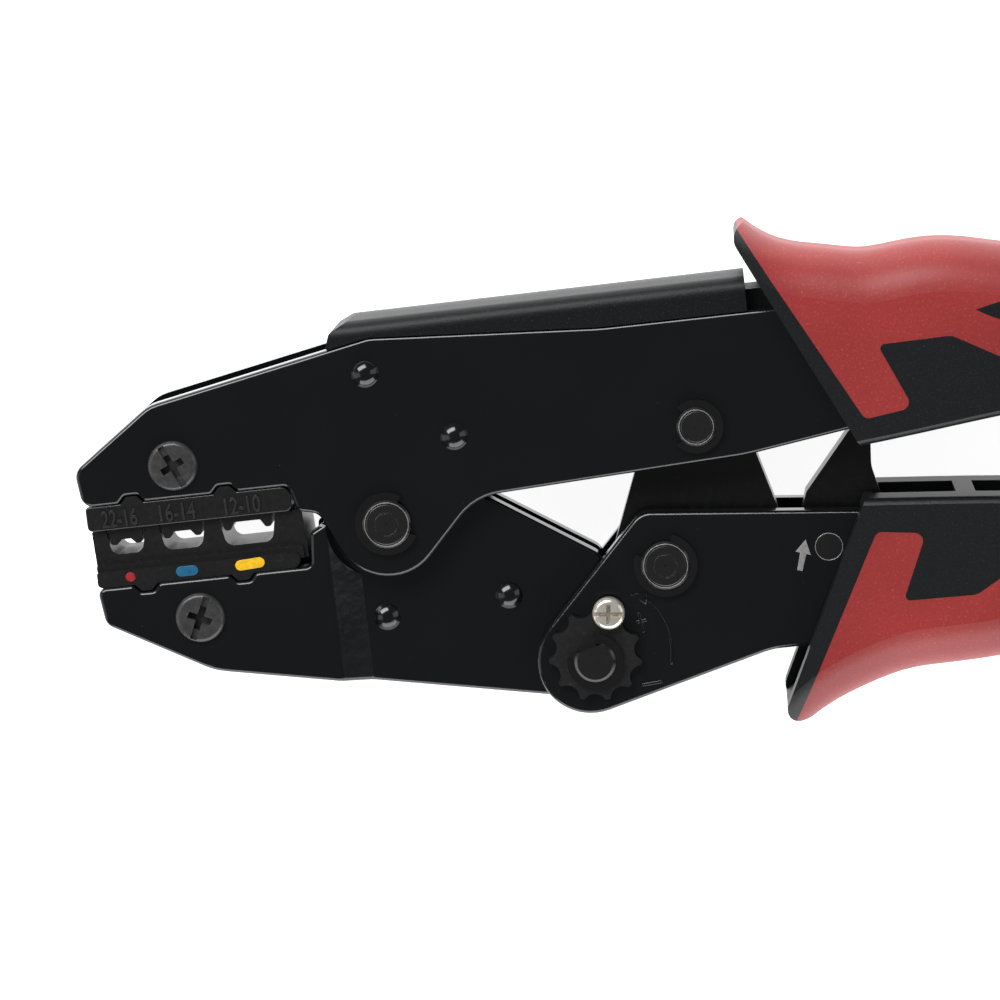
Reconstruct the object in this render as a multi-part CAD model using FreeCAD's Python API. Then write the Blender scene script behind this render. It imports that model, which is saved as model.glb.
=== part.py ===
import FreeCAD, Part
import math
import os

# Ratcheting crimping tool for insulated terminals, jaws closed.
# Millimetres. The tool lies flat on its back face: X runs from the nose (-X) to the handle
# ends (+X), Y runs across the tool from the moving handle (-Y) to the fixed handle (+Y), and
# Z is the thickness, symmetric about Z = 0 while it is being built. The main pivot is at
# X = Y = 0 until the very end, when everything is shifted so that the origin is at the
# bottom centre of the whole tool.

V = FreeCAD.Vector
os.makedirs("parts", exist_ok=True)

# ---- driving dimensions -------------------------------------------------------------------

PLATE = 3.0              # every steel plate
FRAME_OUT = 8.0          # outer faces of the frame and handle plates
FRAME_IN = FRAME_OUT - PLATE
JAW_OUT = 4.7            # outer faces of the lower jaw's tail, between the frame plates
JAW_IN = JAW_OUT - PLATE
EDGE = 0.7               # rolled edge of the stamped plates
FIT = 0.05               # radial clearance of a running fit

MAIN = (0.0, 0.0)                # jaw on frame
ADJUSTER = (29.6, -24.6)         # lower handle on jaw
KNEE = (42.0, -11.0)             # lower handle on toggle link
LINK_TOP = (49.0, 9.9)           # toggle link on frame
PAWL = (67.2, -10.9)             # pawl on lower handle
STAR = (29.7, -23.8)             # star wheel, off centre from its pin
LOCK_SCREW = (32.5, -17.3)
UPPER_SCREW = (-31.9, 12.5)
LOWER_SCREW = (-30.7, -11.6)
FRAME_RIVETS = [(-0.6, 23.4), (11.9, 12.3)]
JAW_RIVETS = [(-2.1, -15.2), (17.2, -13.8)]

PIN_R = 3.75
LINK_PIN_R = 3.0
ADJUSTER_R = 3.2
ADJUSTER_CORE_R = 2.6    # thin middle of the adjuster pin, inside the jaw's tail
PAWL_PIN_R = 2.1
JAW_HOLE_R = 3.7         # clearance hole round the adjuster pin's thin middle
CLIP = 0.8               # retaining clip thickness
CLIP_WIDTH = 1.15        # how far a clip stands out past its pin

LINK_HALF = 3.0          # half thickness of the toggle link
LINK_HUB = 4.7
SECTOR_R = 18.7          # tip radius of the ratchet teeth
ROOT_R = 17.4
TEETH = 11
TOOTH_PITCH = 4.0        # degrees
PAWL_HALF = 2.5
PAWL_TIP_R = 6.2         # keeps 0.3 mm off the teeth

DIE_LEFT = -46.1
DIE_RIGHT = -13.5
DIE_STRIP = 7.6          # half width of the marked strips
DIE_NEST = 6.6           # half width of the nest block
PARTING = 3.45           # bottom of the upper die's shoulder
NEST_FLOOR = -2.1        # where the lower nest block meets its strip
PARTING_GAP = 0.1

GRIP_SKIN = 1.6          # thickness of the red overmold


# ---- helpers ------------------------------------------------------------------------------

def rounded_wire(corners, z=0.0):
    """Closed wire through corners (x, y, radius), each rounded by a tangent arc."""
    points = [V(x, y, z) for x, y, _ in corners]
    count = len(points)
    starts, ends, middles = [], [], []
    for i, (_, _, radius) in enumerate(corners):
        here = points[i]
        back = (points[i - 1] - here).normalize()
        ahead = (points[(i + 1) % count] - here).normalize()
        half = back.getAngle(ahead) / 2
        reach = radius / math.tan(half)
        starts.append(here + back * reach)
        ends.append(here + ahead * reach)
        bisector = (back + ahead).normalize() if radius else V()
        middles.append(here + bisector * (radius / math.sin(half) - radius))
    edges = []
    for i in range(count):
        if corners[i][2]:
            edges.append(Part.Arc(starts[i], middles[i], ends[i]).toShape())
        following = (i + 1) % count
        if (starts[following] - ends[i]).Length > 1e-4:
            edges.append(Part.LineSegment(ends[i], starts[following]).toShape())
    return Part.Wire(edges)


def prism(corners, z_low, z_high):
    """Straight block with a rounded outline, from z_low to z_high."""
    face = Part.Face(rounded_wire(corners, z_low))
    return face.extrude(V(0, 0, z_high - z_low))


def disc(centre, radius, z_low, z_high):
    return Part.makeCylinder(radius, z_high - z_low, V(centre[0], centre[1], z_low))


def sharp(points):
    """Corners with no rounding."""
    return [(x, y, 0) for x, y in points]


def fuse(shapes):
    whole = shapes[0]
    for shape in shapes[1:]:
        whole = whole.fuse(shape)
    return whole.removeSplitter()


def cut(shape, tools):
    for tool in tools:
        shape = shape.cut(tool)
    return shape


def flat_edges(shape, z, keep=lambda point: True):
    """Edges that lie in the plane at height z and whose middle passes the test."""
    found = []
    for edge in shape.Edges:
        box = edge.BoundBox
        if abs(box.ZMin - z) < 1e-3 and abs(box.ZMax - z) < 1e-3 and keep(edge.CenterOfMass):
            found.append(edge)
    return found


def soften(shape, z, radius, keep=lambda point: True):
    return shape.makeFillet(radius, flat_edges(shape, z, keep))


def behind(shape):
    """Mirror image on the back of the tool."""
    return shape.mirror(V(0, 0, 0), V(0, 0, 1))


ACROSS = FreeCAD.Rotation(V(0, 0, 1), V(0, 1, 0), V(-1, 0, 0))    # section plane across X


def polar(centre, radius, degrees):
    angle = math.radians(degrees)
    return (centre[0] + radius * math.cos(angle), centre[1] + radius * math.sin(angle))


# ---- fixed frame --------------------------------------------------------------------------

NOTCH_HALF = 1.0         # locating notches in the die seats
NOTCH_DEPTH = 1.2
NOTCH_ROUND = 0.75
UPPER_SEAT = 7.35        # edge of the frame plates above the upper die
LOWER_SEAT = -5.5
UPPER_KEYS = [-39.1, -24.5]
LOWER_KEYS = [-38.5, -23.3]


def seat_notches(seat, keys, direction):
    """Corners of the locating notches along a die seat, from right to left."""
    corners = []
    for centre in sorted(keys, reverse=True):
        foot = NOTCH_HALF + 1.1
        deep = seat + direction * NOTCH_DEPTH
        corners.append((centre + foot, seat, NOTCH_ROUND))
        corners.append((centre + NOTCH_HALF, deep, NOTCH_ROUND))
        corners.append((centre - NOTCH_HALF, deep, NOTCH_ROUND))
        corners.append((centre - foot, seat, NOTCH_ROUND))
    return corners


SPINE_LINE = [(0.5, 28.9, 6), (36.0, 26.6, 40)]      # top edge of the frame plates
FRAME_END = 168.0

frame_outline = [
    (-46.8, UPPER_SEAT, 2.0), (-47.4, 13.1, 2.4), (-34.6, 22.1, 6),
    *SPINE_LINE,
    (78.0, 26.6, 10), (118.0, 24.2, 40), (FRAME_END, 27.0, 4),
    (FRAME_END, 15.0, 4), (118.0, 13.0, 40), (86.0, 8.8, 20), (56.0, 4.5, 30),
    (14.1, 2.55, 9.5), (3.57, -8.4, 8.35), (-5.41, -8.4, 8.35), (-10.4, 2.6, 2.2),
    (-13.6, 3.3, 1.2), (-14.7, UPPER_SEAT, 0.9),
    *seat_notches(UPPER_SEAT, UPPER_KEYS, 1),
]


def frame_plate():
    plate = prism(frame_outline, FRAME_IN, FRAME_OUT)
    plate = soften(plate, FRAME_OUT, EDGE)
    holes = [disc(MAIN, PIN_R, 0, 10), disc(LINK_TOP, LINK_PIN_R, 0, 10)]
    holes.append(disc(UPPER_SCREW, SCREW_R, 0, 10))
    holes += [disc(place, RIVET_R, 0, 10) for place in FRAME_RIVETS]
    holes.append(disc(RETURN_POST, POST_R, 0, RETURN_POST_HALF))
    return cut(plate, holes)


COVER_RISE = 0.3         # the cover stands this much prouder at its right end
COVER_HALF = 8.0
TONGUE_HALF = 4.9


def spine_cover():
    """Plastic strip that closes the top of the frame, with a tongue between the plates."""
    section = rounded_wire([(-COVER_HALF, 20, 0), (COVER_HALF, 20, 0),
                            (COVER_HALF, 31.4, 2.4), (0, 32.0, 30), (-COVER_HALF, 31.4, 2.4)])
    section.Placement = FreeCAD.Placement(V(-8, 0, 0), ACROSS)
    bar = Part.Face(section).extrude(V(68, COVER_RISE, 0))
    outline = [(-6.3, 27.6, 0.3), (-5.4, 30.2, 1.2), (-0.8, 32.4, 3), (20.0, 34, 0),
               (58.6, 34, 0), (58.6, 26.6, 0), *reversed(SPINE_LINE)]
    cap = bar.common(prism(outline, -COVER_HALF, COVER_HALF))
    tongue = prism([(-4.0, 27.0, 1), (1.0, 29.6, 1), (66.0, 29.6, 1), (66.0, 24.6, 1),
                    (16.0, 25.0, 1)], -TONGUE_HALF, TONGUE_HALF)
    tongue = tongue.cut(disc(FRAME_RIVETS[0], SPACER_R, -6, 6))
    return fuse([cap, tongue])


# ---- fasteners and pins -------------------------------------------------------------------

RIVET_R = 1.6
RIVET_HEAD_R = 2.1
RIVET_HEIGHT = 1.1
SPACER_R = 3.0
SCREW_R = 2.0
SCREW_HEAD_R = 3.85
SCREW_HEAD = 0.9
POST_R = 1.5
RETURN_POST = (58.6, 21.5)
RETURN_POST_HALF = 6.5   # its ends stay under the faces of the plates
PAWL_POST = (85.0, -10.9)


def dome(centre, radius, height, base):
    """Low spherical cap on the plane z = base."""
    ball_r = (radius ** 2 + height ** 2) / (2 * height)
    ball = Part.makeSphere(ball_r, V(centre[0], centre[1], base + height - ball_r))
    return ball.common(disc(centre, radius, base, base + height + 0.1))


def rivet(centre, face, spacer_half):
    """Domed both sides, with a spacer shoulder between the plates."""
    shank = disc(centre, RIVET_R, -face, face)
    head = dome(centre, RIVET_HEAD_R, RIVET_HEIGHT, face)
    spacer = disc(centre, SPACER_R, -spacer_half, spacer_half)
    return fuse([shank, spacer, head, behind(head)])


def slot_and_cross(centre, slot_half, cross_half, half_width, z_top, degrees):
    """Driver recess: a slot at degrees, crossed by a shorter and deeper cross."""
    arms = []
    for half_span, turn, depth in ((slot_half, 0, half_width), (cross_half, 0, 3 * half_width),
                                   (cross_half, 90, 3 * half_width)):
        box = Part.makeBox(2 * half_span, 2 * half_width, depth,
                           V(-half_span, -half_width, z_top - depth))
        box.rotate(V(), V(0, 0, 1), degrees + turn)
        arms.append(box)
    recess = arms[0].multiFuse(arms[1:])
    recess.translate(V(centre[0], centre[1], 0))
    return recess


def die_screw(centre, degrees):
    """Low-headed machine screw that threads into the back plate."""
    head = disc(centre, SCREW_HEAD_R, FRAME_OUT, FRAME_OUT + SCREW_HEAD)
    head = soften(head, FRAME_OUT + SCREW_HEAD, 0.75)
    shank = disc(centre, SCREW_R, -FRAME_OUT, FRAME_OUT)
    screw = fuse([head, shank])
    return screw.cut(slot_and_cross(centre, 3.5, 1.9, 0.52, FRAME_OUT + SCREW_HEAD, degrees))


def headed_pin(centre, radius, front, core_radius, core_half):
    """Pivot pin: flat head on the back, clip groove and chamfer on the front."""
    head = disc(centre, radius + 1.2, -FRAME_OUT - 1.2, -FRAME_OUT)
    head = soften(head, -FRAME_OUT - 1.2, 0.4)
    stem = disc(centre, radius, -FRAME_OUT, front)
    stem = stem.makeChamfer(0.45, flat_edges(stem, front))
    if core_radius < radius:
        waist = disc(centre, radius + 1, -core_half, core_half)
        waist = waist.cut(disc(centre, core_radius, -core_half, core_half))
        stem = stem.cut(waist)
    return fuse([head, stem])


def clip_groove(centre, radius, z_low):
    ring = disc(centre, radius + 1, z_low, z_low + CLIP)
    return ring.cut(disc(centre, radius - 0.4, z_low, z_low + CLIP))


def open_clip(centre, radius, z_low, gap_at, gap_half):
    """Flat C-shaped retaining clip in a pin's groove, open towards gap_at degrees."""
    ring = disc(centre, radius + CLIP_WIDTH, z_low, z_low + CLIP)
    ring = ring.cut(disc(centre, radius - 0.4, z_low, z_low + CLIP))
    reach = 3 * radius
    wedge = prism(sharp([centre, polar(centre, reach, gap_at - gap_half),
                         polar(centre, reach * 1.2, gap_at),
                         polar(centre, reach, gap_at + gap_half)]), z_low - 1, z_low + 2)
    ring = ring.cut(wedge)
    return ring


def pivot_pin(centre, radius, groove_at):
    front = groove_at + CLIP + 0.5
    pin = headed_pin(centre, radius, front, radius, 0)
    pin = pin.cut(clip_groove(centre, radius, groove_at))
    dimple = Part.makeCone(0.0, 0.35, 0.3, V(centre[0], centre[1], front - 0.3))
    return pin.cut(dimple)


def adjuster_pin():
    """Pin that carries the jaw's tail: thin in the middle, flat on one side in front."""
    groove = STAR_TOP
    front = groove + CLIP + 0.6
    pin = headed_pin(ADJUSTER, ADJUSTER_R, front, ADJUSTER_CORE_R, FRAME_IN)
    pin = pin.cut(clip_groove(ADJUSTER, ADJUSTER_R, groove))
    flat = Part.makeBox(4, 8, CLIP + 0.6, V(2.25, -4, groove))
    flat.rotate(V(), V(0, 0, 1), 105)
    flat.translate(V(ADJUSTER[0], ADJUSTER[1], 0))
    return pin.cut(flat)


# ---- crimping dies ------------------------------------------------------------------------

# Each nest: left edge, right edge, floor, punch face and tips of the punch's side fingers,
# for wire sizes 22-16, 16-14 and 12-10.
NESTS = [(-44.1, -37.6, -0.6, 1.7, 0.9), (-35.75, -28.2, -0.75, 2.05, 1.1),
         (-26.2, -17.2, -1.1, 2.5, 1.3)]
PUNCH_SIDE = 0.5         # gap between a punch and its nest wall
REAR_DEEPER = 0.5        # the insulation half of each nest, at the back
REAR_WIDER = 0.2
TONGUE_TOP = 17.0        # dies' tongues between the plates
TONGUE_BOTTOM = -16.0
TONGUE_LEFT = -43.0
TONGUE_RIGHT = -19.5


def die_keys(seat, keys, direction):
    """Locating bumps that fill the seat notches."""
    bumps = []
    for centre in keys:
        tip = seat + direction * (NOTCH_DEPTH - 0.15)
        base = seat - direction * 0.6
        bumps.append(prism([(centre - 1.9, base, 0), (centre + 1.9, base, 0),
                            (centre + 1.75, seat, 0), (centre + 0.8, tip, 0.5),
                            (centre - 0.8, tip, 0.5), (centre - 1.75, seat, 0)],
                           -DIE_STRIP, DIE_STRIP))
    return bumps


def punch(left, right, face, tip):
    """Punch with a rounded finger down each side, hanging from the upper die's shoulder."""
    x0 = left + PUNCH_SIDE
    x1 = right - PUNCH_SIDE
    return prism([(x0, PARTING + 0.3, 0), (x0 + 0.3, tip, 0.5), (x0 + 1.25, tip, 0.4),
                  (x0 + 2.0, face, 0.3), (x1 - 2.0, face, 0.3), (x1 - 1.25, tip, 0.4),
                  (x1 - 0.3, tip, 0.5), (x1, PARTING + 0.3, 0)], -DIE_NEST, DIE_NEST)


def nest(left, right, floor, z_low, z_high):
    """Open-topped cavity in the lower die."""
    rim = PARTING + 1
    return prism([(left - 0.12, rim, 0), (left + 0.9, floor, 1.5),
                  (right - 0.9, floor, 1.5), (right + 0.12, rim, 0)], z_low, z_high)


def upper_die():
    strip = prism([(DIE_LEFT - 0.4, PARTING, 0.8), (DIE_LEFT - 0.4, UPPER_SEAT, 0.6),
                   (DIE_RIGHT - 0.9, UPPER_SEAT, 1.6), (DIE_RIGHT - 0.9, PARTING, 1.0)],
                  -DIE_STRIP, DIE_STRIP)
    strip = soften(strip, DIE_STRIP, 0.25, lambda point: point.y < UPPER_SEAT - 0.5)
    tongue = prism([(TONGUE_LEFT, 6.0, 0), (TONGUE_LEFT, TONGUE_TOP, 2),
                    (TONGUE_RIGHT, TONGUE_TOP, 2), (TONGUE_RIGHT, 6.0, 0)],
                   -FRAME_IN, FRAME_IN)
    pieces = [strip, tongue] + die_keys(UPPER_SEAT, UPPER_KEYS, 1)
    pieces += [punch(left, right, face, tip) for left, right, _, face, tip in NESTS]
    return fuse(pieces).cut(disc(UPPER_SCREW, SCREW_R, -9, 9))


def lower_die():
    top = PARTING - PARTING_GAP
    block = prism([(DIE_LEFT + 0.2, NEST_FLOOR - 2, 0), (DIE_LEFT, top, 0.3),
                   (DIE_RIGHT + 0.4, top, 0.6), (DIE_RIGHT + 0.7, NEST_FLOOR - 2, 0)],
                  -DIE_NEST, DIE_NEST)
    step_half = (DIE_NEST + DIE_STRIP) / 2
    step = prism([(DIE_LEFT + 0.2, NEST_FLOOR - 2, 0), (DIE_LEFT + 0.1, NEST_FLOOR, 0.2),
                  (DIE_RIGHT, NEST_FLOOR, 0.5), (DIE_RIGHT, NEST_FLOOR - 2, 0)],
                 -step_half, step_half)
    strip = prism([(DIE_LEFT, LOWER_SEAT, 0.8), (DIE_LEFT + 0.1, NEST_FLOOR - 0.95, 0.3),
                   (DIE_RIGHT - 0.4, NEST_FLOOR - 0.95, 1.0), (DIE_RIGHT - 0.9, LOWER_SEAT, 1.3)],
                  -DIE_STRIP, DIE_STRIP)
    tongue = prism([(TONGUE_LEFT, -4.5, 0), (TONGUE_RIGHT, -4.5, 0),
                    (TONGUE_RIGHT, TONGUE_BOTTOM, 2), (TONGUE_LEFT, -13.0, 2)],
                   -FRAME_IN, FRAME_IN)
    pieces = [block, step, strip, tongue] + die_keys(LOWER_SEAT, LOWER_KEYS, -1)
    body = fuse(pieces).cut(disc(LOWER_SCREW, SCREW_R, -9, 9))
    for left, right, floor, _, _ in NESTS:
        body = body.cut(nest(left, right, floor, 0, 9))
        body = body.cut(nest(left - REAR_WIDER, right + REAR_WIDER, floor - REAR_DEEPER, -9, 0))
    return body


# ---- lower jaw ----------------------------------------------------------------------------

BEND_NOSE = -9.8         # the plates bend outwards between these two
BEND_TAIL = -5.2
FRAME_SWEEP_R = 9.6      # relief round the frame plates' lobe

jaw_outline = [
    (-46.3, LOWER_SEAT, 1.2),
    *reversed(seat_notches(LOWER_SEAT, LOWER_KEYS, -1)),
    (-12.6, LOWER_SEAT, 1.0), (-12.1, -0.3, 0.8), (-9.4, 1.1, 1.0),
    (-8.6, 10.0, 4), (4.0, 9.6, 7), (31.9, -8.8, 2.4), (33.2, -15.5, 3),
    (37.6, -24.0, 5.5), (31.5, -32.15, 5.5), (-29.6, -20.3, 12), (-45.6, -11.3, 2.2),
]


def jaw_bend(outer, inner):
    """Side profile of one jaw plate in X and Z, as a bar across the whole jaw."""
    rise = FRAME_OUT - JAW_OUT
    slant = (BEND_TAIL - BEND_NOSE) / rise
    shift = 0.35 * slant * PLATE
    corners = [(-60, outer, 0), (BEND_NOSE, outer, 2.5), (BEND_TAIL, outer - rise, 1.2),
               (50, outer - rise, 0), (50, inner - rise, 0), (BEND_TAIL - shift, inner - rise, 2.5),
               (BEND_NOSE - shift, inner, 1.2), (-60, inner, 0)]
    bar = prism(corners, -20, 50)
    bar.rotate(V(), V(1, 0, 0), 90)
    return bar


def jaw_plate():
    plate = prism(jaw_outline, 0, 9).common(jaw_bend(FRAME_OUT, FRAME_IN))
    plate = soften(plate, FRAME_OUT, EDGE, lambda point: point.x < BEND_NOSE - 2.5)
    relief = Part.makeBox(11.2, 12, 9, V(-11.2, 0.5, JAW_OUT + 0.02))
    plate = cut(plate, [disc(MAIN, FRAME_SWEEP_R, JAW_OUT + 0.02, 9), relief])
    holes = [disc(MAIN, PIN_R + FIT, 0, 9), disc(ADJUSTER, JAW_HOLE_R, 0, 9)]
    holes.append(disc(LOWER_SCREW, SCREW_R, 0, 9))
    holes += [disc(place, RIVET_R, 0, 9) for place in JAW_RIVETS]
    return cut(plate, holes)


# ---- lower handle -------------------------------------------------------------------------

STAR_TOP = FRAME_OUT + 1.25

handle_outline = [
    (38.9, -2.5, 3.5), (76.0, -6.1, 10), (120.0, -12.2, 40), (FRAME_END, -14.5, 4),
    (FRAME_END, -25.5, 4), (118.0, -24.2, 40), (80.0, -26.0, 10), (57.0, -26.0, 12),
    (20.5, -35.7, 8.25), (20.5, -21.5, 8.25),
]


def handle_plate():
    plate = prism(handle_outline, FRAME_IN, FRAME_OUT)
    plate = soften(plate, FRAME_OUT, EDGE)
    holes = [disc(ADJUSTER, ADJUSTER_R, 0, 10), disc(KNEE, PIN_R, 0, 10)]
    holes += [disc(PAWL, PAWL_PIN_R, 0, 10), disc(PAWL_POST, POST_R, 0, 10)]
    return cut(plate, holes)


LOCK_R = 1.0
LOCK_HEAD_R = 2.5


def lock_screw():
    """Small screw whose shank sits in a scallop of the star wheel."""
    shank = disc(LOCK_SCREW, LOCK_R, FRAME_IN, STAR_TOP)
    head = disc(LOCK_SCREW, LOCK_HEAD_R, STAR_TOP, STAR_TOP + 1.7)
    head = soften(head, STAR_TOP + 1.7, 0.9)
    recess = slot_and_cross(LOCK_SCREW, 2.4, 1.5, 0.33, STAR_TOP + 1.7, -6)
    return fuse([shank, head]).cut(recess)


STAR_R = 7.2
STAR_POINTS = 11
STAR_PHASE = 67.0        # degrees of the scallop that holds the lock screw
SCALLOP_R = 1.9
SCALLOP_OUT = 7.95


def star_wheel():
    wheel = disc(STAR, STAR_R, FRAME_OUT, STAR_TOP)
    for i in range(STAR_POINTS):
        scallop = polar(STAR, SCALLOP_OUT, STAR_PHASE + i * 360 / STAR_POINTS)
        wheel = wheel.cut(disc(scallop, SCALLOP_R, FRAME_OUT - 1, STAR_TOP + 1))
    tips = [edge for edge in wheel.Edges if edge.BoundBox.ZLength > 1
            and edge.BoundBox.XLength < 0.01 and edge.CenterOfMass.distanceToPoint(
                V(STAR[0], STAR[1], edge.CenterOfMass.z)) > SCALLOP_OUT - SCALLOP_R + 0.5]
    wheel = wheel.makeFillet(0.3, tips)
    return wheel.cut(disc(ADJUSTER, ADJUSTER_R, 0, 12))


# ---- toggle link and ratchet --------------------------------------------------------------

FIRST_TOOTH = -6.0       # degrees about the knee pin, jaws closed
LINK_EAR = (59.0, 8.4)   # hole for the return spring
SECTOR_TOP = 18.0
SECTOR_END = -60.0


def ratchet_sector():
    """Toothed quadrant about the knee pin."""
    corners = [KNEE, polar(KNEE, ROOT_R, SECTOR_END)]
    last = FIRST_TOOTH - TEETH * TOOTH_PITCH
    for i in range(TEETH, 0, -1):
        root = FIRST_TOOTH - i * TOOTH_PITCH
        corners.append(polar(KNEE, ROOT_R, root))
        corners.append(polar(KNEE, SECTOR_R, root + TOOTH_PITCH / 2))
    corners.append(polar(KNEE, ROOT_R, FIRST_TOOTH))
    corners.append(polar(KNEE, ROOT_R, FIRST_TOOTH + 9))
    corners.append(polar(KNEE, SECTOR_R, FIRST_TOOTH + 12))
    corners.append(polar(KNEE, SECTOR_R + 0.35, SECTOR_TOP))
    assert last > SECTOR_END
    return prism(sharp(corners), -LINK_HALF, LINK_HALF)


def toggle_link():
    web = prism(sharp([(42.2, 12.0), (34.3, -8.0), (42.0, -19.0), (52.0, -22.0),
                       polar(KNEE, SECTOR_R + 0.35, SECTOR_TOP), (55.7, 11.0)]),
                -LINK_HALF, LINK_HALF)
    sector = ratchet_sector()
    reach = disc(KNEE, ROOT_R - 1, -LINK_HALF, LINK_HALF)
    keep_above = prism(sharp([(30, -12), (70, -12), (70, 30), (30, 30)]), -9, 9)
    web = web.common(reach.fuse(keep_above))
    hubs = [disc(LINK_TOP, 7.0, -LINK_HALF, LINK_HALF), disc(KNEE, 8.0, -LINK_HALF, LINK_HALF),
            disc(LINK_TOP, 5.0, -LINK_HUB, LINK_HUB), disc(KNEE, 6.0, -LINK_HUB, LINK_HUB),
            disc(LINK_EAR, 1.75, -LINK_HALF, LINK_HALF),
            prism(sharp([(52.0, 10.1), (52.0, 5.6), (59.0, 6.65), (59.0, 10.1)]),
                  -LINK_HALF, LINK_HALF)]
    holes = [disc(LINK_TOP, LINK_PIN_R + FIT, -6, 6), disc(KNEE, PIN_R + FIT, -6, 6)]
    slot = Part.makeBox(6, 8, 2.0, V(56.3, 5.0, -1.0))
    return cut(fuse([web, sector] + hubs), holes + [slot, disc(LINK_EAR, 0.9, -6, 6)])


def return_spring_pin():
    """Cross pin in the link's ear that the return spring hooks on."""
    return disc(LINK_EAR, 0.9, -LINK_HALF, LINK_HALF)


def ratchet_pawl():
    """Pawl tip towards the teeth, thumb lever up between the handles, ear for its spring."""
    plate = prism([(PAWL[0] - 4.5, -9.0, 1), (64.6, -3.0, 1), (72.4, 6.2, 1), (73.2, 8.6, 1),
                   (75.6, 8.0, 1), (75.0, 0.0, 6), (76.4, -6.0, 2), (73.6, -9.2, 1),
                   (73.6, -12.8, 1), (70.5, -14.5, 3), (PAWL[0] - 3.6, -15.0, 3)],
                  -PAWL_HALF, PAWL_HALF)
    tip = prism([(PAWL[0], -7.6, 0), (PAWL[0] - PAWL_TIP_R, PAWL[1], 0.5), (PAWL[0], -14.2, 0)],
                -PAWL_HALF, PAWL_HALF)
    hub = disc(PAWL, 3.6, -LINK_HUB, LINK_HUB)
    body = fuse([plate, tip, hub])
    ear = Part.makeBox(4, 5, 2.0, V(PAWL[0] + 3.9, PAWL[1] - 2.5, -1.0))
    return cut(body, [disc(PAWL, PAWL_PIN_R + FIT, -6, 6), ear])


# ---- springs ------------------------------------------------------------------------------

WIRE_R = 0.35
COIL_R = 1.9
BAR_R = 0.42             # straight runs that join a coil to its end rings


def coil_spring(start, end, turns, eye_r):
    """Extension spring along the line from start to end, with a ring eye at each end."""
    first = V(start[0], start[1], 0)
    last = V(end[0], end[1], 0)
    along = (last - first).normalize()
    length = (last - first).Length
    lead = eye_r + WIRE_R + 0.3
    body_length = length - 2 * lead
    helix = Part.makeHelix(body_length / turns, body_length, COIL_R)
    profile = Part.Wire(Part.makeCircle(WIRE_R, V(COIL_R, 0, 0), V(0, 1, 0)))
    coil = Part.Wire(helix).makePipeShell([profile], True, True)
    turn = FreeCAD.Rotation(V(0, 0, 1), along)
    coil.Placement = FreeCAD.Placement(first + along * lead, turn)
    eyes = []
    bars = []
    for centre, sign in ((first, 1), (last, -1)):
        eyes.append(Part.makeTorus(eye_r + WIRE_R, WIRE_R, centre, V(0, 0, 1)))
        root = centre + along * (sign * (eye_r + WIRE_R))
        bars.append(Part.makeCylinder(BAR_R, COIL_R + 0.25, centre + along * (sign * lead),
                                      turn.multVec(V(1, 0, 0))))
        bars.append(Part.makeCylinder(BAR_R, lead - eye_r - WIRE_R + 0.25, root, along * sign))
    return fuse([coil] + bars + eyes)


# ---- grips --------------------------------------------------------------------------------

# Stations along each grip: x, inner edge y, outer edge y, half thickness.
UPPER_STATIONS = [
    (53.0, 2.4, 43.6, 11.5), (60.0, 3.1, 39.3, 11.5), (66.0, 3.7, 35.7, 11.5),
    (73.0, 4.4, 34.1, 11.5), (80.0, 5.1, 33.5, 11.5), (88.0, 6.0, 33.9, 11.5),
    (98.0, 7.1, 32.0, 11.5), (110.0, 8.3, 30.8, 11.5), (125.0, 9.4, 32.2, 11.5),
    (142.0, 10.1, 34.4, 11.5), (158.0, 10.2, 34.0, 11.5), (172.0, 10.0, 32.2, 11.4),
    (181.0, 10.2, 31.4, 10.6), (186.0, 12.0, 29.4, 9.0), (188.0, 15.5, 26.0, 6.0),
]
LOWER_STATIONS = [
    (53.0, -1.9, -43.6, 11.5), (60.0, -2.5, -39.4, 11.5), (66.0, -3.0, -35.7, 11.5),
    (73.0, -3.6, -33.1, 11.5), (80.0, -4.2, -31.8, 11.5), (88.0, -4.9, -31.6, 11.5),
    (98.0, -5.9, -30.8, 11.5), (110.0, -7.2, -30.4, 11.5), (125.0, -8.4, -31.8, 11.5),
    (142.0, -9.2, -34.0, 11.5), (158.0, -9.3, -33.6, 11.5), (172.0, -9.1, -31.6, 11.4),
    (181.0, -9.3, -30.6, 10.6), (186.0, -11.0, -28.6, 9.0), (188.0, -14.4, -25.0, 6.0),
]
GRIP_HALF = 11.4         # flat lands on both sides, which the tool lies on
INNER_ROUND = 1.5
OUTER_ROUND = 8.5
UPPER_MOUTH = [(56.3, 40.0), (73.7, 4.0)]    # tip and inner end of each slanted mouth
LOWER_MOUTH = [(56.8, -37.7), (72.6, -5.2)]
MOUTH_TIP = 2.4
SLOT_FIRST = 74.6
SLOT_LENGTH = 12.8
SLOT_STEP = 15.8
SLOTS = 6
SLOT_HALF = 5.2


def grip_section(x, inner, outer, half, inset):
    """Rounded cross-section of a grip at one station."""
    side = 1 if outer > inner else -1
    low = inner + side * inset
    high = outer - side * inset
    z = half - inset
    small = max(INNER_ROUND - inset, 0.8)
    large = min(max(OUTER_ROUND - inset, 1.0), 0.8 * z)
    corners = [(-z, low, small), (z, low, small), (z, high, large), (-z, high, large)]
    wire = rounded_wire(corners)
    wire.Placement = FreeCAD.Placement(V(x, 0, 0), ACROSS)
    return wire


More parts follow.
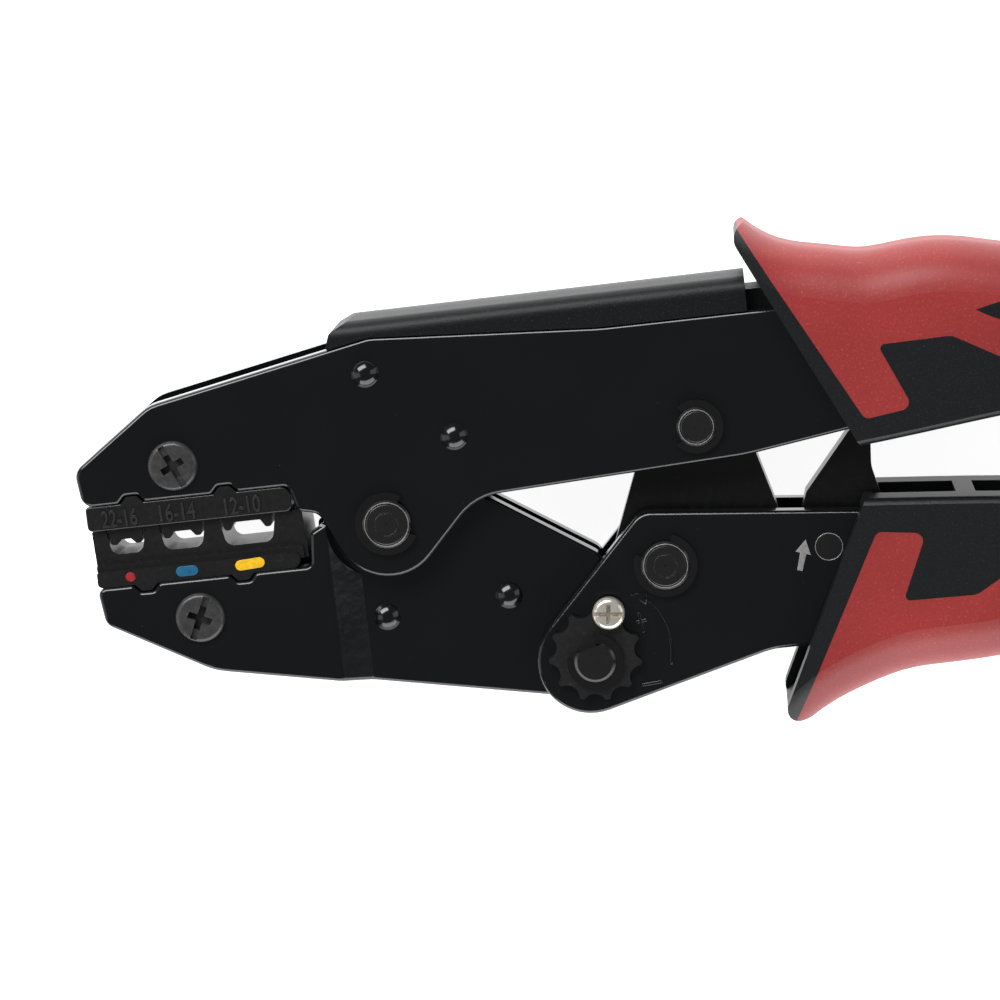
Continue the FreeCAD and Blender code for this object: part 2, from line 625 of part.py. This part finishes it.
def grip_form(stations, mouth, inset):
    """Lofted grip, cut off along the slanted mouth."""
    sections = [grip_section(x, inner, outer, half, inset)
                for x, inner, outer, half in stations[:-1]]
    x, inner, outer, half = stations[-1]
    sections.append(grip_section(x - inset, inner, outer, half, min(inset, 1.0)))
    form = Part.makeLoft(sections, True, False)
    land = GRIP_HALF - inset
    form = form.common(Part.makeBox(200, 120, 2 * land, V(20, -60, -land)))
    (x0, y0), (x1, y1) = mouth
    slope = (x1 - x0) / (y1 - y0)
    foot = -math.copysign(8, y0)
    kept = [(x0, y0, MOUTH_TIP), (200, y0, 0), (200, foot, 0), (x0 + slope * (foot - y0), foot, 0)]
    return form.common(prism(kept, -20, 20))


def red_region(side, lift):
    """Front view of the overmold: three legs across the grip, joined along its back."""
    y = lambda value: side * value + lift
    rows = [
        (56.0, y(43.6), 0), (74.6, y(8.6), 1.2), (82.0, y(9.6), 1.3), (77.6, y(19.7), 0.7),
        (88.8, y(19.9), 2.5), (104.0, y(11.2), 1.6), (121.5, y(13.2), 1.6), (118.0, y(21.5), 0.7),
        (130.0, y(22.2), 2.5), (146.0, y(13.8), 1.6), (164.0, y(14.6), 1.6), (161.0, y(22.0), 0.7),
        (171.0, y(22.5), 2.5), (183.5, y(16.5), 1.6), (181.0, y(44.0), 0),
    ]
    return prism(rows, -20, 20)


def lens(side, lift, left, length, base):
    """Almond-shaped window through the overmold."""
    y = lambda value: side * value + lift
    right = left + length
    lower = Part.Arc(V(left, y(base), -20), V(left + 0.5 * length, y(base - 3.4), -20),
                     V(right, y(base + 1.0), -20)).toShape()
    upper = Part.Arc(V(right, y(base + 1.0), -20), V(left + 0.4 * length, y(base + 1.6), -20),
                     V(left, y(base), -20)).toShape()
    return Part.Face(Part.Wire([lower, upper])).extrude(V(0, 0, 40))


LENSES = [(92.8, 24.0, 23.4), (134.0, 24.0, 25.4)]


def grip_parts(stations, mouth, side, lift, tongue, mouth_room, lever_slot):
    """Black core and red overmold of one grip."""
    form = grip_form(stations, mouth, 0)
    inside = grip_form(stations, mouth, GRIP_SKIN)
    region = red_region(side, lift)
    for left, length, base in LENSES:
        region = region.cut(lens(side, lift, left, length, base))
    skin = form.common(region).cut(inside)
    core = form.cut(region).fuse(inside)
    channel = prism(tongue, FRAME_IN, FRAME_OUT)
    slots = []
    for i in range(SLOTS):
        start = SLOT_FIRST + i * SLOT_STEP
        deep = 12.0 + 0.03 * (start - SLOT_FIRST)
        slots.append(prism([(start, 0, 0), (start + SLOT_LENGTH, 0, 0),
                            (start + SLOT_LENGTH, side * deep, 0.8), (start, side * deep, 0.8)],
                           -SLOT_HALF, SLOT_HALF))
    room = prism(mouth_room, -FRAME_OUT, FRAME_OUT)
    core = cut(core, [channel, behind(channel), room, lever_slot] + slots)
    return core, skin


upper_room = sharp([(48, 46), (60.0, 35.8), (66.0, 32.3), (86.0, 31.0), (86.0, 8.2), (56.0, 3.9),
                    (48, 3.8)])
lower_room = sharp([(48, -2.6), (76.0, -5.5), (92.0, -7.6), (92.0, -26.8), (80.0, -27.8),
                    (73.0, -29.0), (66.0, -31.6), (60.0, -34.6), (48, -43)])
upper_lever_slot = Part.makeBox(34, 12, 7.0, V(50, 0, -3.5))
lower_lever_slot = Part.makeBox(10, 8, 7.0, V(68, -8.5, -3.5))

upper_core, upper_skin = grip_parts(UPPER_STATIONS, UPPER_MOUTH, 1, 0.0, frame_outline,
                                    upper_room, upper_lever_slot)
lower_core, lower_skin = grip_parts(LOWER_STATIONS, LOWER_MOUTH, -1, -0.2, handle_outline,
                                    lower_room, lower_lever_slot)

# ---- assembly -----------------------------------------------------------------------------

front_frame = frame_plate()
front_jaw = jaw_plate()
handle_blank = handle_plate()
front_handle = handle_blank.cut(disc(LOCK_SCREW, LOCK_R, 0, 10))

parts = {
    "upper_plate_front": front_frame,
    "upper_plate_back": behind(front_frame),
    "spine_cover": spine_cover(),
    "upper_die": upper_die(),
    "upper_die_screw": die_screw(UPPER_SCREW, 114.7),
    "frame_rivets": Part.makeCompound([rivet(p, FRAME_OUT, FRAME_IN) for p in FRAME_RIVETS]),
    "main_pivot_pin": pivot_pin(MAIN, PIN_R, FRAME_OUT),
    "main_pivot_clip": open_clip(MAIN, PIN_R, FRAME_OUT, 14.4, 42.6),
    "link_pin": pivot_pin(LINK_TOP, LINK_PIN_R, FRAME_OUT),
    "link_pin_clip": open_clip(LINK_TOP, LINK_PIN_R, FRAME_OUT, 174.0, 45.0),
    "return_spring_post": disc(RETURN_POST, POST_R, -RETURN_POST_HALF, RETURN_POST_HALF),
    "upper_grip_core": upper_core,
    "upper_grip_overmold": upper_skin,
    "lower_jaw_plate_front": front_jaw,
    "lower_jaw_plate_back": behind(front_jaw),
    "lower_die": lower_die(),
    "lower_die_screw": die_screw(LOWER_SCREW, 65.3),
    "jaw_rivets": Part.makeCompound([rivet(p, JAW_OUT, JAW_IN) for p in JAW_RIVETS]),
    "lower_handle_plate_front": front_handle,
    "lower_handle_plate_back": behind(handle_blank),
    "handle_pin": pivot_pin(KNEE, PIN_R, FRAME_OUT),
    "handle_pin_clip": open_clip(KNEE, PIN_R, FRAME_OUT, 113.2, 41.0),
    "adjuster_pin": adjuster_pin(),
    "adjuster_clip": open_clip(ADJUSTER, ADJUSTER_R, STAR_TOP, 128.5, 42.0),
    "star_wheel": star_wheel(),
    "lock_screw": lock_screw(),
    "pawl_pin": disc(PAWL, PAWL_PIN_R, -FRAME_OUT, FRAME_OUT),
    "pawl_spring_post": disc(PAWL_POST, POST_R, -FRAME_OUT, FRAME_OUT),
    "lower_grip_core": lower_core,
    "lower_grip_overmold": lower_skin,
    "toggle_link": toggle_link(),
    "return_spring_pin": return_spring_pin(),
    "ratchet_pawl": ratchet_pawl(),
    "pawl_spring": coil_spring((PAWL[0] + 6.4, PAWL[1]), PAWL_POST, 7, POST_R + 0.1),
    "return_spring": coil_spring(LINK_EAR, RETURN_POST, 7, POST_R + 0.1),
}

whole = Part.makeCompound(list(parts.values())).optimalBoundingBox(False, False)
shift = V(-whole.Center.x, -whole.Center.y, -whole.ZMin)
print("shift", shift, "size", whole.XLength, whole.YLength, whole.ZLength)
for name, shape in parts.items():
    shape.translate(shift)
    shape.exportStep("parts/" + name + ".step")
    print(name, shape.isValid(), len(shape.Solids), round(shape.Volume, 2))
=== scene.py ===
import math

import bmesh
import bpy
from mathutils import Matrix, Vector


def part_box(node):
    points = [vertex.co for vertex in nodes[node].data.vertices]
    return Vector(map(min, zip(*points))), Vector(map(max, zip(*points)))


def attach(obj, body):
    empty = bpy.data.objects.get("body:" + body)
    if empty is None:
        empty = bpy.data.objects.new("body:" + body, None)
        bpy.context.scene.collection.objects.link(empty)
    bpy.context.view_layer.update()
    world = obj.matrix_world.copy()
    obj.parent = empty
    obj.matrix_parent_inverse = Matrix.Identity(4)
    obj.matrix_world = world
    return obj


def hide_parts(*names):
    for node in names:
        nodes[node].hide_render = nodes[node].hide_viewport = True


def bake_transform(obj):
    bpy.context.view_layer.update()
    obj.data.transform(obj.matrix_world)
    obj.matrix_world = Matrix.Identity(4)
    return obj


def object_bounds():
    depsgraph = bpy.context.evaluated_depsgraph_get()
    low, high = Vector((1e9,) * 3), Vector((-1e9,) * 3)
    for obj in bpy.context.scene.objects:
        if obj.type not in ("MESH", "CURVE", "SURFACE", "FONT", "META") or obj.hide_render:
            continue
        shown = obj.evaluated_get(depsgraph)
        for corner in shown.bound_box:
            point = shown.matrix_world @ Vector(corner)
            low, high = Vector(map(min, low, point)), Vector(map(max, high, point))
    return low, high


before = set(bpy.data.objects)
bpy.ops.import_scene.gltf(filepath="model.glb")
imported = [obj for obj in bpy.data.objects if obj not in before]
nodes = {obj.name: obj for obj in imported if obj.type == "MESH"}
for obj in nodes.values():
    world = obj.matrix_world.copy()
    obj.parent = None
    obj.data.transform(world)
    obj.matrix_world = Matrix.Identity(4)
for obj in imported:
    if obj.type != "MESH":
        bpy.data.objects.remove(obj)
cad_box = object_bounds()

# The tool frame: millimetres from the main pivot, Z = 0 halfway through the plates.
low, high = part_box("main_pivot_pin")
plate_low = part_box("upper_plate_back")[0]
plate_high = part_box("upper_plate_front")[1]
ORIGIN = Vector(((low[0] + high[0]) / 2, (low[1] + high[1]) / 2,
                 (plate_low[2] + plate_high[2]) / 2))
FACE = 8.0                      # outer face of the front plates of the frame and the handle
STRIP = 7.6                     # front face of the die strips
HANDLE_PIN = (42.0, -11.0)      # middle of each pin
LINK_PIN = (49.0, 9.9)
STAR = (29.7, -23.8)            # middle of the star wheel
PIN_R = 3.75                    # radius of the turned face on the main and handle pins
LINK_PIN_R = 3.0                # the same on the link pin
SUNK = 0.02                     # how far a mark's foot sits in its face, so that no gap shows
RAISED = 0.22                   # height of the marks by the star wheel
RAISED_EDGE = 0.12              # rounding of their top edge


def at(x, y, z):
    return ORIGIN + Vector((x, y, z)) / 1000


# ---- camera -------------------------------------------------------------------------------

camera_data = bpy.data.cameras.new("camera")
camera_data.lens = 136.8
camera_data.sensor_width = 36
camera = bpy.data.objects.new("camera", camera_data)
bpy.context.collection.objects.link(camera)
forward = Vector((-0.07389, -0.15295, -0.98547)).normalized()
up = Vector((0.10619, 0.98135, -0.16027)).normalized()
right = forward.cross(up).normalized()
up = right.cross(forward)
place = at(60.975, 91.157, 584.12)
turn = Matrix((right, up, -forward)).transposed().to_4x4()
camera.matrix_world = Matrix.Translation(place) @ turn
bpy.context.scene.camera = camera

# ---- materials ----------------------------------------------------------------------------


def material(name, colour, roughness, metallic=0.0):
    """Principled material: itself, its node tree, its shader and its object coordinates."""
    mat = bpy.data.materials.new(name)
    mat.use_nodes = True
    tree = mat.node_tree
    shader = tree.nodes["Principled BSDF"]
    shader.inputs["Base Color"].default_value = (*colour, 1)
    shader.inputs["Roughness"].default_value = roughness
    shader.inputs["Metallic"].default_value = metallic
    coords = tree.nodes.new("ShaderNodeTexCoord")
    return mat, tree, shader, coords.outputs["Object"]


def noise(tree, coords, scale, detail=2.0, rough=0.5):
    node = tree.nodes.new("ShaderNodeTexNoise")
    node.inputs["Scale"].default_value = scale
    node.inputs["Detail"].default_value = detail
    node.inputs["Roughness"].default_value = rough
    tree.links.new(coords, node.inputs["Vector"])
    return node.outputs["Fac"]


def ramp(tree, value, stops):
    node = tree.nodes.new("ShaderNodeValToRGB")
    while len(node.color_ramp.elements) < len(stops):
        node.color_ramp.elements.new(0.5)
    for element, (position, colour) in zip(node.color_ramp.elements, stops):
        element.position = position
        element.color = (*colour, 1)
    tree.links.new(value, node.inputs["Fac"])
    return node.outputs["Color"]


def bump(tree, shader, height, strength, distance, chain=None):
    node = tree.nodes.new("ShaderNodeBump")
    node.inputs["Strength"].default_value = strength
    node.inputs["Distance"].default_value = distance
    tree.links.new(height, node.inputs["Height"])
    if chain is not None:
        tree.links.new(chain, node.inputs["Normal"])
    tree.links.new(node.outputs["Normal"], shader.inputs["Normal"])
    return node.outputs["Normal"]


def grey(v):
    return (v, v, v)


def painted_steel():
    """Glossy black paint with a slight orange peel and specks of dust."""
    mat, tree, shader, coords = material("black_paint", (0.004, 0.0045, 0.0058), 0.16)
    shader.inputs["Coat Weight"].default_value = 0.3
    shader.inputs["Coat Roughness"].default_value = 0.06
    shader.inputs["Specular IOR Level"].default_value = 0.5
    peel = bump(tree, shader, noise(tree, coords, 700, 1), 0.35, 0.00006)
    bump(tree, shader, noise(tree, coords, 160, 2), 0.2, 0.0003, peel)
    specks = ramp(tree, noise(tree, coords, 1500, 1),
                  [(0.80, (0.004, 0.0045, 0.0058)), (0.86, (0.035, 0.035, 0.037))])
    tree.links.new(specks, shader.inputs["Base Color"])
    rough = ramp(tree, noise(tree, coords, 60, 4), [(0.35, grey(0.13)), (0.7, grey(0.22))])
    tree.links.new(rough, shader.inputs["Roughness"])
    return mat


def moulded_plastic(name, specular):
    """Satin moulded plastic with a fine spark-eroded texture."""
    mat, tree, shader, coords = material(name, (0.006, 0.0063, 0.007), 0.42)
    fine = noise(tree, coords, 3200, 2, 0.6)
    shader.inputs["Specular IOR Level"].default_value = specular
    colour = ramp(tree, fine, [(0.45, (0.0045, 0.005, 0.0058)), (0.64, (0.007, 0.008, 0.0095)),
                               (0.78, (0.03, 0.033, 0.037))])
    tree.links.new(colour, shader.inputs["Base Color"])
    bump(tree, shader, fine, 0.5, 0.00006)
    return mat


def soft_red():
    """Slightly translucent red elastomer with pale specks."""
    mat, tree, shader, coords = material("soft_red", (0.30, 0.024, 0.022), 0.46)
    shader.inputs["Subsurface Weight"].default_value = 0.25
    shader.inputs["Subsurface Radius"].default_value = (0.9, 0.12, 0.10)
    shader.inputs["Subsurface Scale"].default_value = 0.002
    shader.inputs["Sheen Weight"].default_value = 0.08
    shader.inputs["Sheen Roughness"].default_value = 0.4
    shader.inputs["Sheen Tint"].default_value = (1.0, 0.75, 0.75, 1)
    fine = noise(tree, coords, 2900, 2, 0.6)
    broad = noise(tree, coords, 45, 3)
    mix = tree.nodes.new("ShaderNodeMix")
    mix.data_type = "RGBA"
    mix.blend_type = "MULTIPLY"
    mix.inputs["Factor"].default_value = 1.0
    tone = ramp(tree, broad, [(0.3, (0.27, 0.022, 0.021)), (0.7, (0.35, 0.032, 0.030))])
    specks = ramp(tree, fine, [(0.35, grey(0.9)), (0.6, grey(1.0)), (0.76, (1.5, 2.6, 2.4))])
    tree.links.new(tone, mix.inputs["A"])
    tree.links.new(specks, mix.inputs["B"])
    tree.links.new(mix.outputs["Result"], shader.inputs["Base Color"])
    bump(tree, shader, fine, 0.35, 0.00005)
    return mat


def blackened(name, value, roughness, grain):
    """Blackened steel with a fine grain."""
    mat, tree, shader, coords = material(name, grey(value), roughness)
    shader.inputs["Specular IOR Level"].default_value = 0.6
    fine = noise(tree, coords, grain, 3, 0.6)
    colour = ramp(tree, fine, [(0.3, grey(value * 0.6)), (0.65, grey(value)), (0.8, grey(value * 2.6))])
    tree.links.new(colour, shader.inputs["Base Color"])
    bump(tree, shader, fine, 0.3, 0.00005)
    return mat


def turned(name, value, roughness):
    """Blackened pin turned on a lathe, with a faint grain."""
    mat, tree, shader, coords = material(name, grey(value), roughness)
    shader.inputs["Specular IOR Level"].default_value = 0.7
    fine = noise(tree, coords, 1400, 2)
    rough = ramp(tree, fine, [(0.3, grey(roughness * 0.9)), (0.7, grey(roughness * 1.15))])
    tree.links.new(rough, shader.inputs["Roughness"])
    bump(tree, shader, fine, 0.05, 0.00002)
    return mat


def nickel():
    mat, tree, shader, coords = material("nickel", (0.86, 0.80, 0.70), 0.22, 0.7)
    fine = noise(tree, coords, 800, 2)
    colour = ramp(tree, fine, [(0.35, (0.80, 0.72, 0.60)), (0.7, (0.92, 0.90, 0.86))])
    tree.links.new(colour, shader.inputs["Base Color"])
    bump(tree, shader, fine, 0.2, 0.00005)
    return mat


def wire_steel():
    mat, tree, shader, coords = material("wire_steel", (0.45, 0.45, 0.46), 0.28, 1.0)
    fine = noise(tree, coords, 1800, 2)
    rough = ramp(tree, fine, [(0.3, grey(0.22)), (0.7, grey(0.38))])
    tree.links.new(rough, shader.inputs["Roughness"])
    return mat


def ink(name, colour):
    mat, tree, shader, coords = material(name, colour, 0.45)
    fine = noise(tree, coords, 1600, 3)
    dark = tuple(c * 0.75 for c in colour)
    tree.links.new(ramp(tree, fine, [(0.3, dark), (0.6, colour)]), shader.inputs["Base Color"])
    bump(tree, shader, fine, 0.2, 0.00003)
    return mat


PAINT = painted_steel()
PLASTIC = moulded_plastic("grip_plastic", 0.4)
COVER = moulded_plastic("cover_plastic", 0.25)
RED = soft_red()
DIE = blackened("die_black", 0.010, 0.30, 1700)
LINK = blackened("link_black", 0.005, 0.26, 1200)
FASTENER = blackened("fastener_black", 0.045, 0.34, 1100)
WHEEL = blackened("wheel_black", 0.014, 0.30, 1300)
PIN = turned("pin_black", 0.010, 0.22)
# Light grey used only for thin rings at the pin edges: a painted highlight where the chamfers catch the
# light.
PAINTED_HIGHLIGHT_RING = turned("pin_painted_highlight", 0.22, 0.25)
CLIP = turned("clip_black", 0.006, 0.20)
NICKEL = nickel()
WIRE = wire_steel()
WORN = blackened("die_worn", 0.022, 0.36, 1700)
INK_RED = ink("mark_red", (0.36, 0.012, 0.022))
INK_BLUE = ink("mark_blue", (0.006, 0.12, 0.24))
INK_YELLOW = ink("mark_yellow", (0.90, 0.52, 0.010))
INK_GREY = ink("arrow_grey", (0.27, 0.26, 0.255))

finish = {
    "plate": PAINT, "cover": COVER, "core": PLASTIC, "overmold": RED, "die_screw": FASTENER,
    "_die": DIE, "rivets": PAINT, "clip": CLIP, "wheel": WHEEL, "lock_screw": NICKEL,
    "spring_post": PIN, "spring_pin": PIN, "_pin": PIN, "_spring": WIRE, "toggle_link": LINK,
    "ratchet_pawl": LINK,
}
for name, node in nodes.items():
    key = next(k for k in finish if k in name)
    node.data.materials.clear()
    node.data.materials.append(finish[key])

# ---- raised and painted details -------------------------------------------------------------


def as_piece(name, mesh, mat, body):
    """Put a finished mesh in the scene, riding on its body, with its finish material."""
    mesh.materials.append(mat)
    piece = bpy.data.objects.new(name, mesh)
    bpy.context.collection.objects.link(piece)
    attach(piece, body)


def slab(name, outline, z0, z1, mat, body, edge=0.08):
    """Thin raised shape from z0 to z1 with its top edge rounded."""
    mesh = bpy.data.meshes.new(name)
    shape = bmesh.new()
    corners = [shape.verts.new(at(x, y, z0)) for x, y in outline]
    face = shape.faces.new(corners)
    face.normal_update()
    if face.normal.z < 0:
        face.normal_flip()
    lifted = bmesh.ops.extrude_face_region(shape, geom=[face])["geom"]
    bmesh.ops.translate(shape, vec=(0, 0, (z1 - z0) / 1000),
                        verts=[v for v in lifted if isinstance(v, bmesh.types.BMVert)])
    top = at(0, 0, z1).z
    rim = [e for e in shape.edges if all(abs(v.co.z - top) < 1e-7 for v in e.verts)]
    bmesh.ops.bevel(shape, geom=rim, offset=edge / 1000, segments=3, profile=0.5, affect="EDGES")
    bmesh.ops.recalc_face_normals(shape, faces=shape.faces)
    for f in shape.faces:
        f.smooth = True
    shape.to_mesh(mesh)
    shape.free()
    as_piece(name, mesh, mat, body)


def lathe(name, centre, profile, mat, body, steps=64):
    """Turned piece about Z. Its profile of (radius, z) ends on the axis or where it began."""
    mesh = bpy.data.meshes.new(name)
    verts, faces = [], []
    for i in range(steps):
        turn = 2 * math.pi * i / steps
        for r, z in profile:
            verts.append(at(centre[0] + r * math.cos(turn), centre[1] + r * math.sin(turn), z))
    n = len(profile)
    for i in range(steps):
        j = (i + 1) % steps
        for k in range(n - 1):
            faces.append((i * n + k, j * n + k, j * n + k + 1, i * n + k + 1))
    mesh.from_pydata(verts, [], faces)
    shape = bmesh.new()
    shape.from_mesh(mesh)
    bmesh.ops.remove_doubles(shape, verts=shape.verts, dist=1e-8)
    bmesh.ops.recalc_face_normals(shape, faces=shape.faces)
    for f in shape.faces:
        f.smooth = True
    for e in shape.edges:
        e.smooth = e.is_manifold and e.calc_face_angle() < math.radians(20)
    shape.to_mesh(mesh)
    shape.free()
    as_piece(name, mesh, mat, body)


def pill(centre, half_length, radius, degrees, steps=10):
    """Outline of a flat bar with round ends."""
    turn = math.radians(degrees)
    along = Vector((math.cos(turn), math.sin(turn)))
    points = []
    for side in (1, -1):
        for i in range(steps + 1):
            a = turn - math.pi / 2 + math.pi * i / steps + (0 if side > 0 else math.pi)
            points.append(Vector(centre) + along * half_length * side
                          + Vector((math.cos(a), math.sin(a))) * radius)
    return [tuple(p) for p in points]


def arc_band(centre, radius, half_width, first, last, steps=24):
    """Outline of a curved bar between two angles in degrees."""
    turns = [math.radians(first + (last - first) * i / steps) for i in range(steps + 1)]
    sides = []
    for r in (radius + half_width, radius - half_width):
        sides.append([(centre[0] + r * math.cos(t), centre[1] + r * math.sin(t)) for t in turns])
    return sides[0] + sides[1][::-1]


NUMBER_RELIEF = 3.2     # mm of height for each unit of the extruded text


def size_number(name, text, centre, width, height, z, mat, body):
    """Raised wire-size number on the upper die."""
    curve = bpy.data.curves.new(name, "FONT")
    curve.body = text
    curve.size = 1.0
    curve.extrude = 0.06
    curve.bevel_depth = 0.012
    curve.align_x = "CENTER"
    holder = bpy.data.objects.new(name + "_text", curve)
    bpy.context.collection.objects.link(holder)
    bpy.context.view_layer.update()
    mesh = bpy.data.meshes.new_from_object(holder)
    bpy.data.objects.remove(holder)
    tall = max(v.co.y for v in mesh.vertices)
    wide = max(v.co.x for v in mesh.vertices) - min(v.co.x for v in mesh.vertices)
    for v in mesh.vertices:
        x = centre[0] + v.co.x * width / wide
        y = centre[1] + (v.co.y / tall - 0.5) * height
        v.co = at(x, y, z + v.co.z * NUMBER_RELIEF)
    as_piece(name, mesh, mat, body)


for number, x in (("22-16", -41.3), ("16-14", -32.4), ("12-10", -22.2)):
    size_number("size_" + number.replace("-", "_"), number, (x, 5.25), 5.6, 2.6, STRIP, WORN,
                "frame")

MARK_HIGH = 0.12
for name, outline, mat in (
        ("mark_red", pill((-40.8, -4.15), 0.05, 0.72, 0), INK_RED),
        ("mark_blue", pill((-31.9, -4.15), 0.95, 0.8, 0), INK_BLUE),
        ("mark_yellow", pill((-22.0, -4.1), 1.5, 0.82, 3), INK_YELLOW)):
    slab(name, outline, STRIP - SUNK, STRIP + MARK_HIGH, mat, "lower_jaw")

# Each pin face gets a thin light grey ring inside its edge: a painted highlight in place of light
# caught by the chamfer.
for name, node, centre, radius, body in (
        ("main_pivot_face", "main_pivot_pin", (0, 0), PIN_R, "frame"),
        ("link_pin_face", "link_pin", LINK_PIN, LINK_PIN_R, "frame"),
        ("handle_pin_face", "handle_pin", HANDLE_PIN, PIN_R, "lower_handle")):
    top = (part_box(node)[1][2] - ORIGIN.z) * 1000
    lathe(name + "_painted_highlight_rim", centre, [(radius - 0.52, top - 0.06), (radius - 0.40, top - 0.02),
                                  (radius - 0.30, top - 0.10), (radius - 0.42, top - 0.16),
                                  (radius - 0.52, top - 0.06)], PAINTED_HIGHLIGHT_RING, body)
    dimple = [(0, top - 0.03), (0.12, top), (0.2, top + 0.09)]
    groove = [(radius * 0.45, top + 0.1), (radius * 0.46, top + 0.07),
              (radius * 0.49, top + 0.07), (radius * 0.5, top + 0.1)]
    edge = [(radius - 0.75, top + 0.1), (radius - 0.62, top + 0.05), (radius - 0.56, top - 0.05)]
    lathe(name, centre, dimple + groove + edge + [(0, top - 0.05)], PIN, body)

low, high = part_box("pawl_pin")
highlight_radius = (high[0] - low[0]) * 500
centre = ((low[0] + high[0]) * 500 - ORIGIN.x * 1000,
          (low[1] + high[1]) * 500 - ORIGIN.y * 1000)
top = (high[2] - ORIGIN.z) * 1000
# A thin light grey ring at the pawl pin's edge: a painted highlight.
lathe("pawl_pin_painted_highlight", centre, [(highlight_radius - 0.10, top - 0.03), (highlight_radius, top + 0.035),
                                (highlight_radius + 0.10, top - 0.03), (highlight_radius - 0.10, top - 0.03)],
      PAINTED_HIGHLIGHT_RING, "lower_handle")

ARROW = [(61.95, -14.0), (62.75, -14.25), (63.6, -11.65), (64.3, -11.9), (63.75, -9.4),
         (62.0, -11.1), (62.7, -11.35)]
slab("release_arrow", ARROW, FACE - SUNK, FACE + 0.05, INK_GREY, "lower_handle", 0.02)

# The raised marks by the star wheel. The plus sign's second bar is a little lower than its first.
for name, outline, sunk, proud in (
        ("adjust_arc", arc_band(STAR, 11.75, 0.2, -14, 44), SUNK, RAISED),
        ("adjust_arrow_head", [(36.0, -15.0), (38.7, -15.1), (38.3, -16.9)], SUNK, RAISED),
        ("adjust_plus_a", pill((37.2, -19.6), 1.4, 0.25, 98), SUNK, RAISED),
        ("adjust_plus_b", pill((37.3, -19.4), 0.65, 0.25, 8), 0.03, 0.2),
        ("adjust_minus", pill((37.9, -29.3), 1.4, 0.25, 4), SUNK, RAISED)):
    slab(name, outline, FACE - sunk, FACE + proud, PAINT, "lower_handle", RAISED_EDGE)


def stretching(node):
    """Copy of a coil spring baked into the tool frame, riding on no body; the part itself is hidden."""
    piece = bpy.data.objects.new(node + "_coil", nodes[node].data.copy())
    bpy.context.collection.objects.link(piece)
    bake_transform(piece)
    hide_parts(node)


stretching("return_spring")
stretching("pawl_spring")

# ---- floor and light ----------------------------------------------------------------------

floor_mesh = bpy.data.meshes.new("floor")
HALF = 3.0              # metres, as is the gap below the tool
FLOOR_GAP = 0.0002
GLOW = 0.9
floor_mesh.from_pydata([(-HALF, -HALF, 0), (HALF, -HALF, 0), (HALF, HALF, 0), (-HALF, HALF, 0)],
                       [], [(0, 1, 2, 3)])
floor = bpy.data.objects.new("floor", floor_mesh)
floor.location.z = cad_box[0][2] - FLOOR_GAP
bpy.context.collection.objects.link(floor)
floor_mat, floor_tree, floor_shader, floor_coords = material("floor_pale", (0.9, 0.9, 0.9), 0.9)
floor_shader.inputs["Specular IOR Level"].default_value = 0.1
tone = ramp(floor_tree, noise(floor_tree, floor_coords, 30, 2), [(0.3, grey(0.88)), (0.7, grey(0.92))])
floor_tree.links.new(tone, floor_shader.inputs["Base Color"])
# The table gives off its own light, so the openings in the tool look nearly as pale as it does.
floor_shader.inputs["Emission Color"].default_value = (1, 1, 1, 1)
floor_shader.inputs["Emission Strength"].default_value = GLOW
floor_mesh.materials.append(floor_mat)

world = bpy.data.worlds.new("world")
world.use_nodes = True
world.node_tree.nodes["Background"].inputs["Color"].default_value = (1, 1, 1, 1)
world.node_tree.nodes["Background"].inputs["Strength"].default_value = 0.10
bpy.context.scene.world = world


def softbox(name, place, width, height, power):
    """Rectangular soft light aimed at the frame's origin, which is under the tool's middle."""
    data = bpy.data.lights.new(name, "AREA")
    data.shape = "RECTANGLE"
    data.size = width
    data.size_y = height
    data.energy = power
    light = bpy.data.objects.new(name, data)
    light.location = place
    light.rotation_euler = (-Vector(place)).to_track_quat("-Z", "Y").to_euler()
    bpy.context.collection.objects.link(light)


softbox("light_key", (-0.45, 0.95, 0.85), 1.3, 0.6, 21)
softbox("light_left", (-1.3, -0.1, 0.45), 0.7, 2.0, 3.5)
softbox("light_right", (1.5, 0.2, 0.6), 0.9, 1.8, 4.5)
softbox("light_front", (0.1, -1.1, 0.5), 2.2, 0.8, 18)

bpy.context.scene.view_settings.view_transform = "Standard"
bpy.context.scene.view_settings.look = "None"
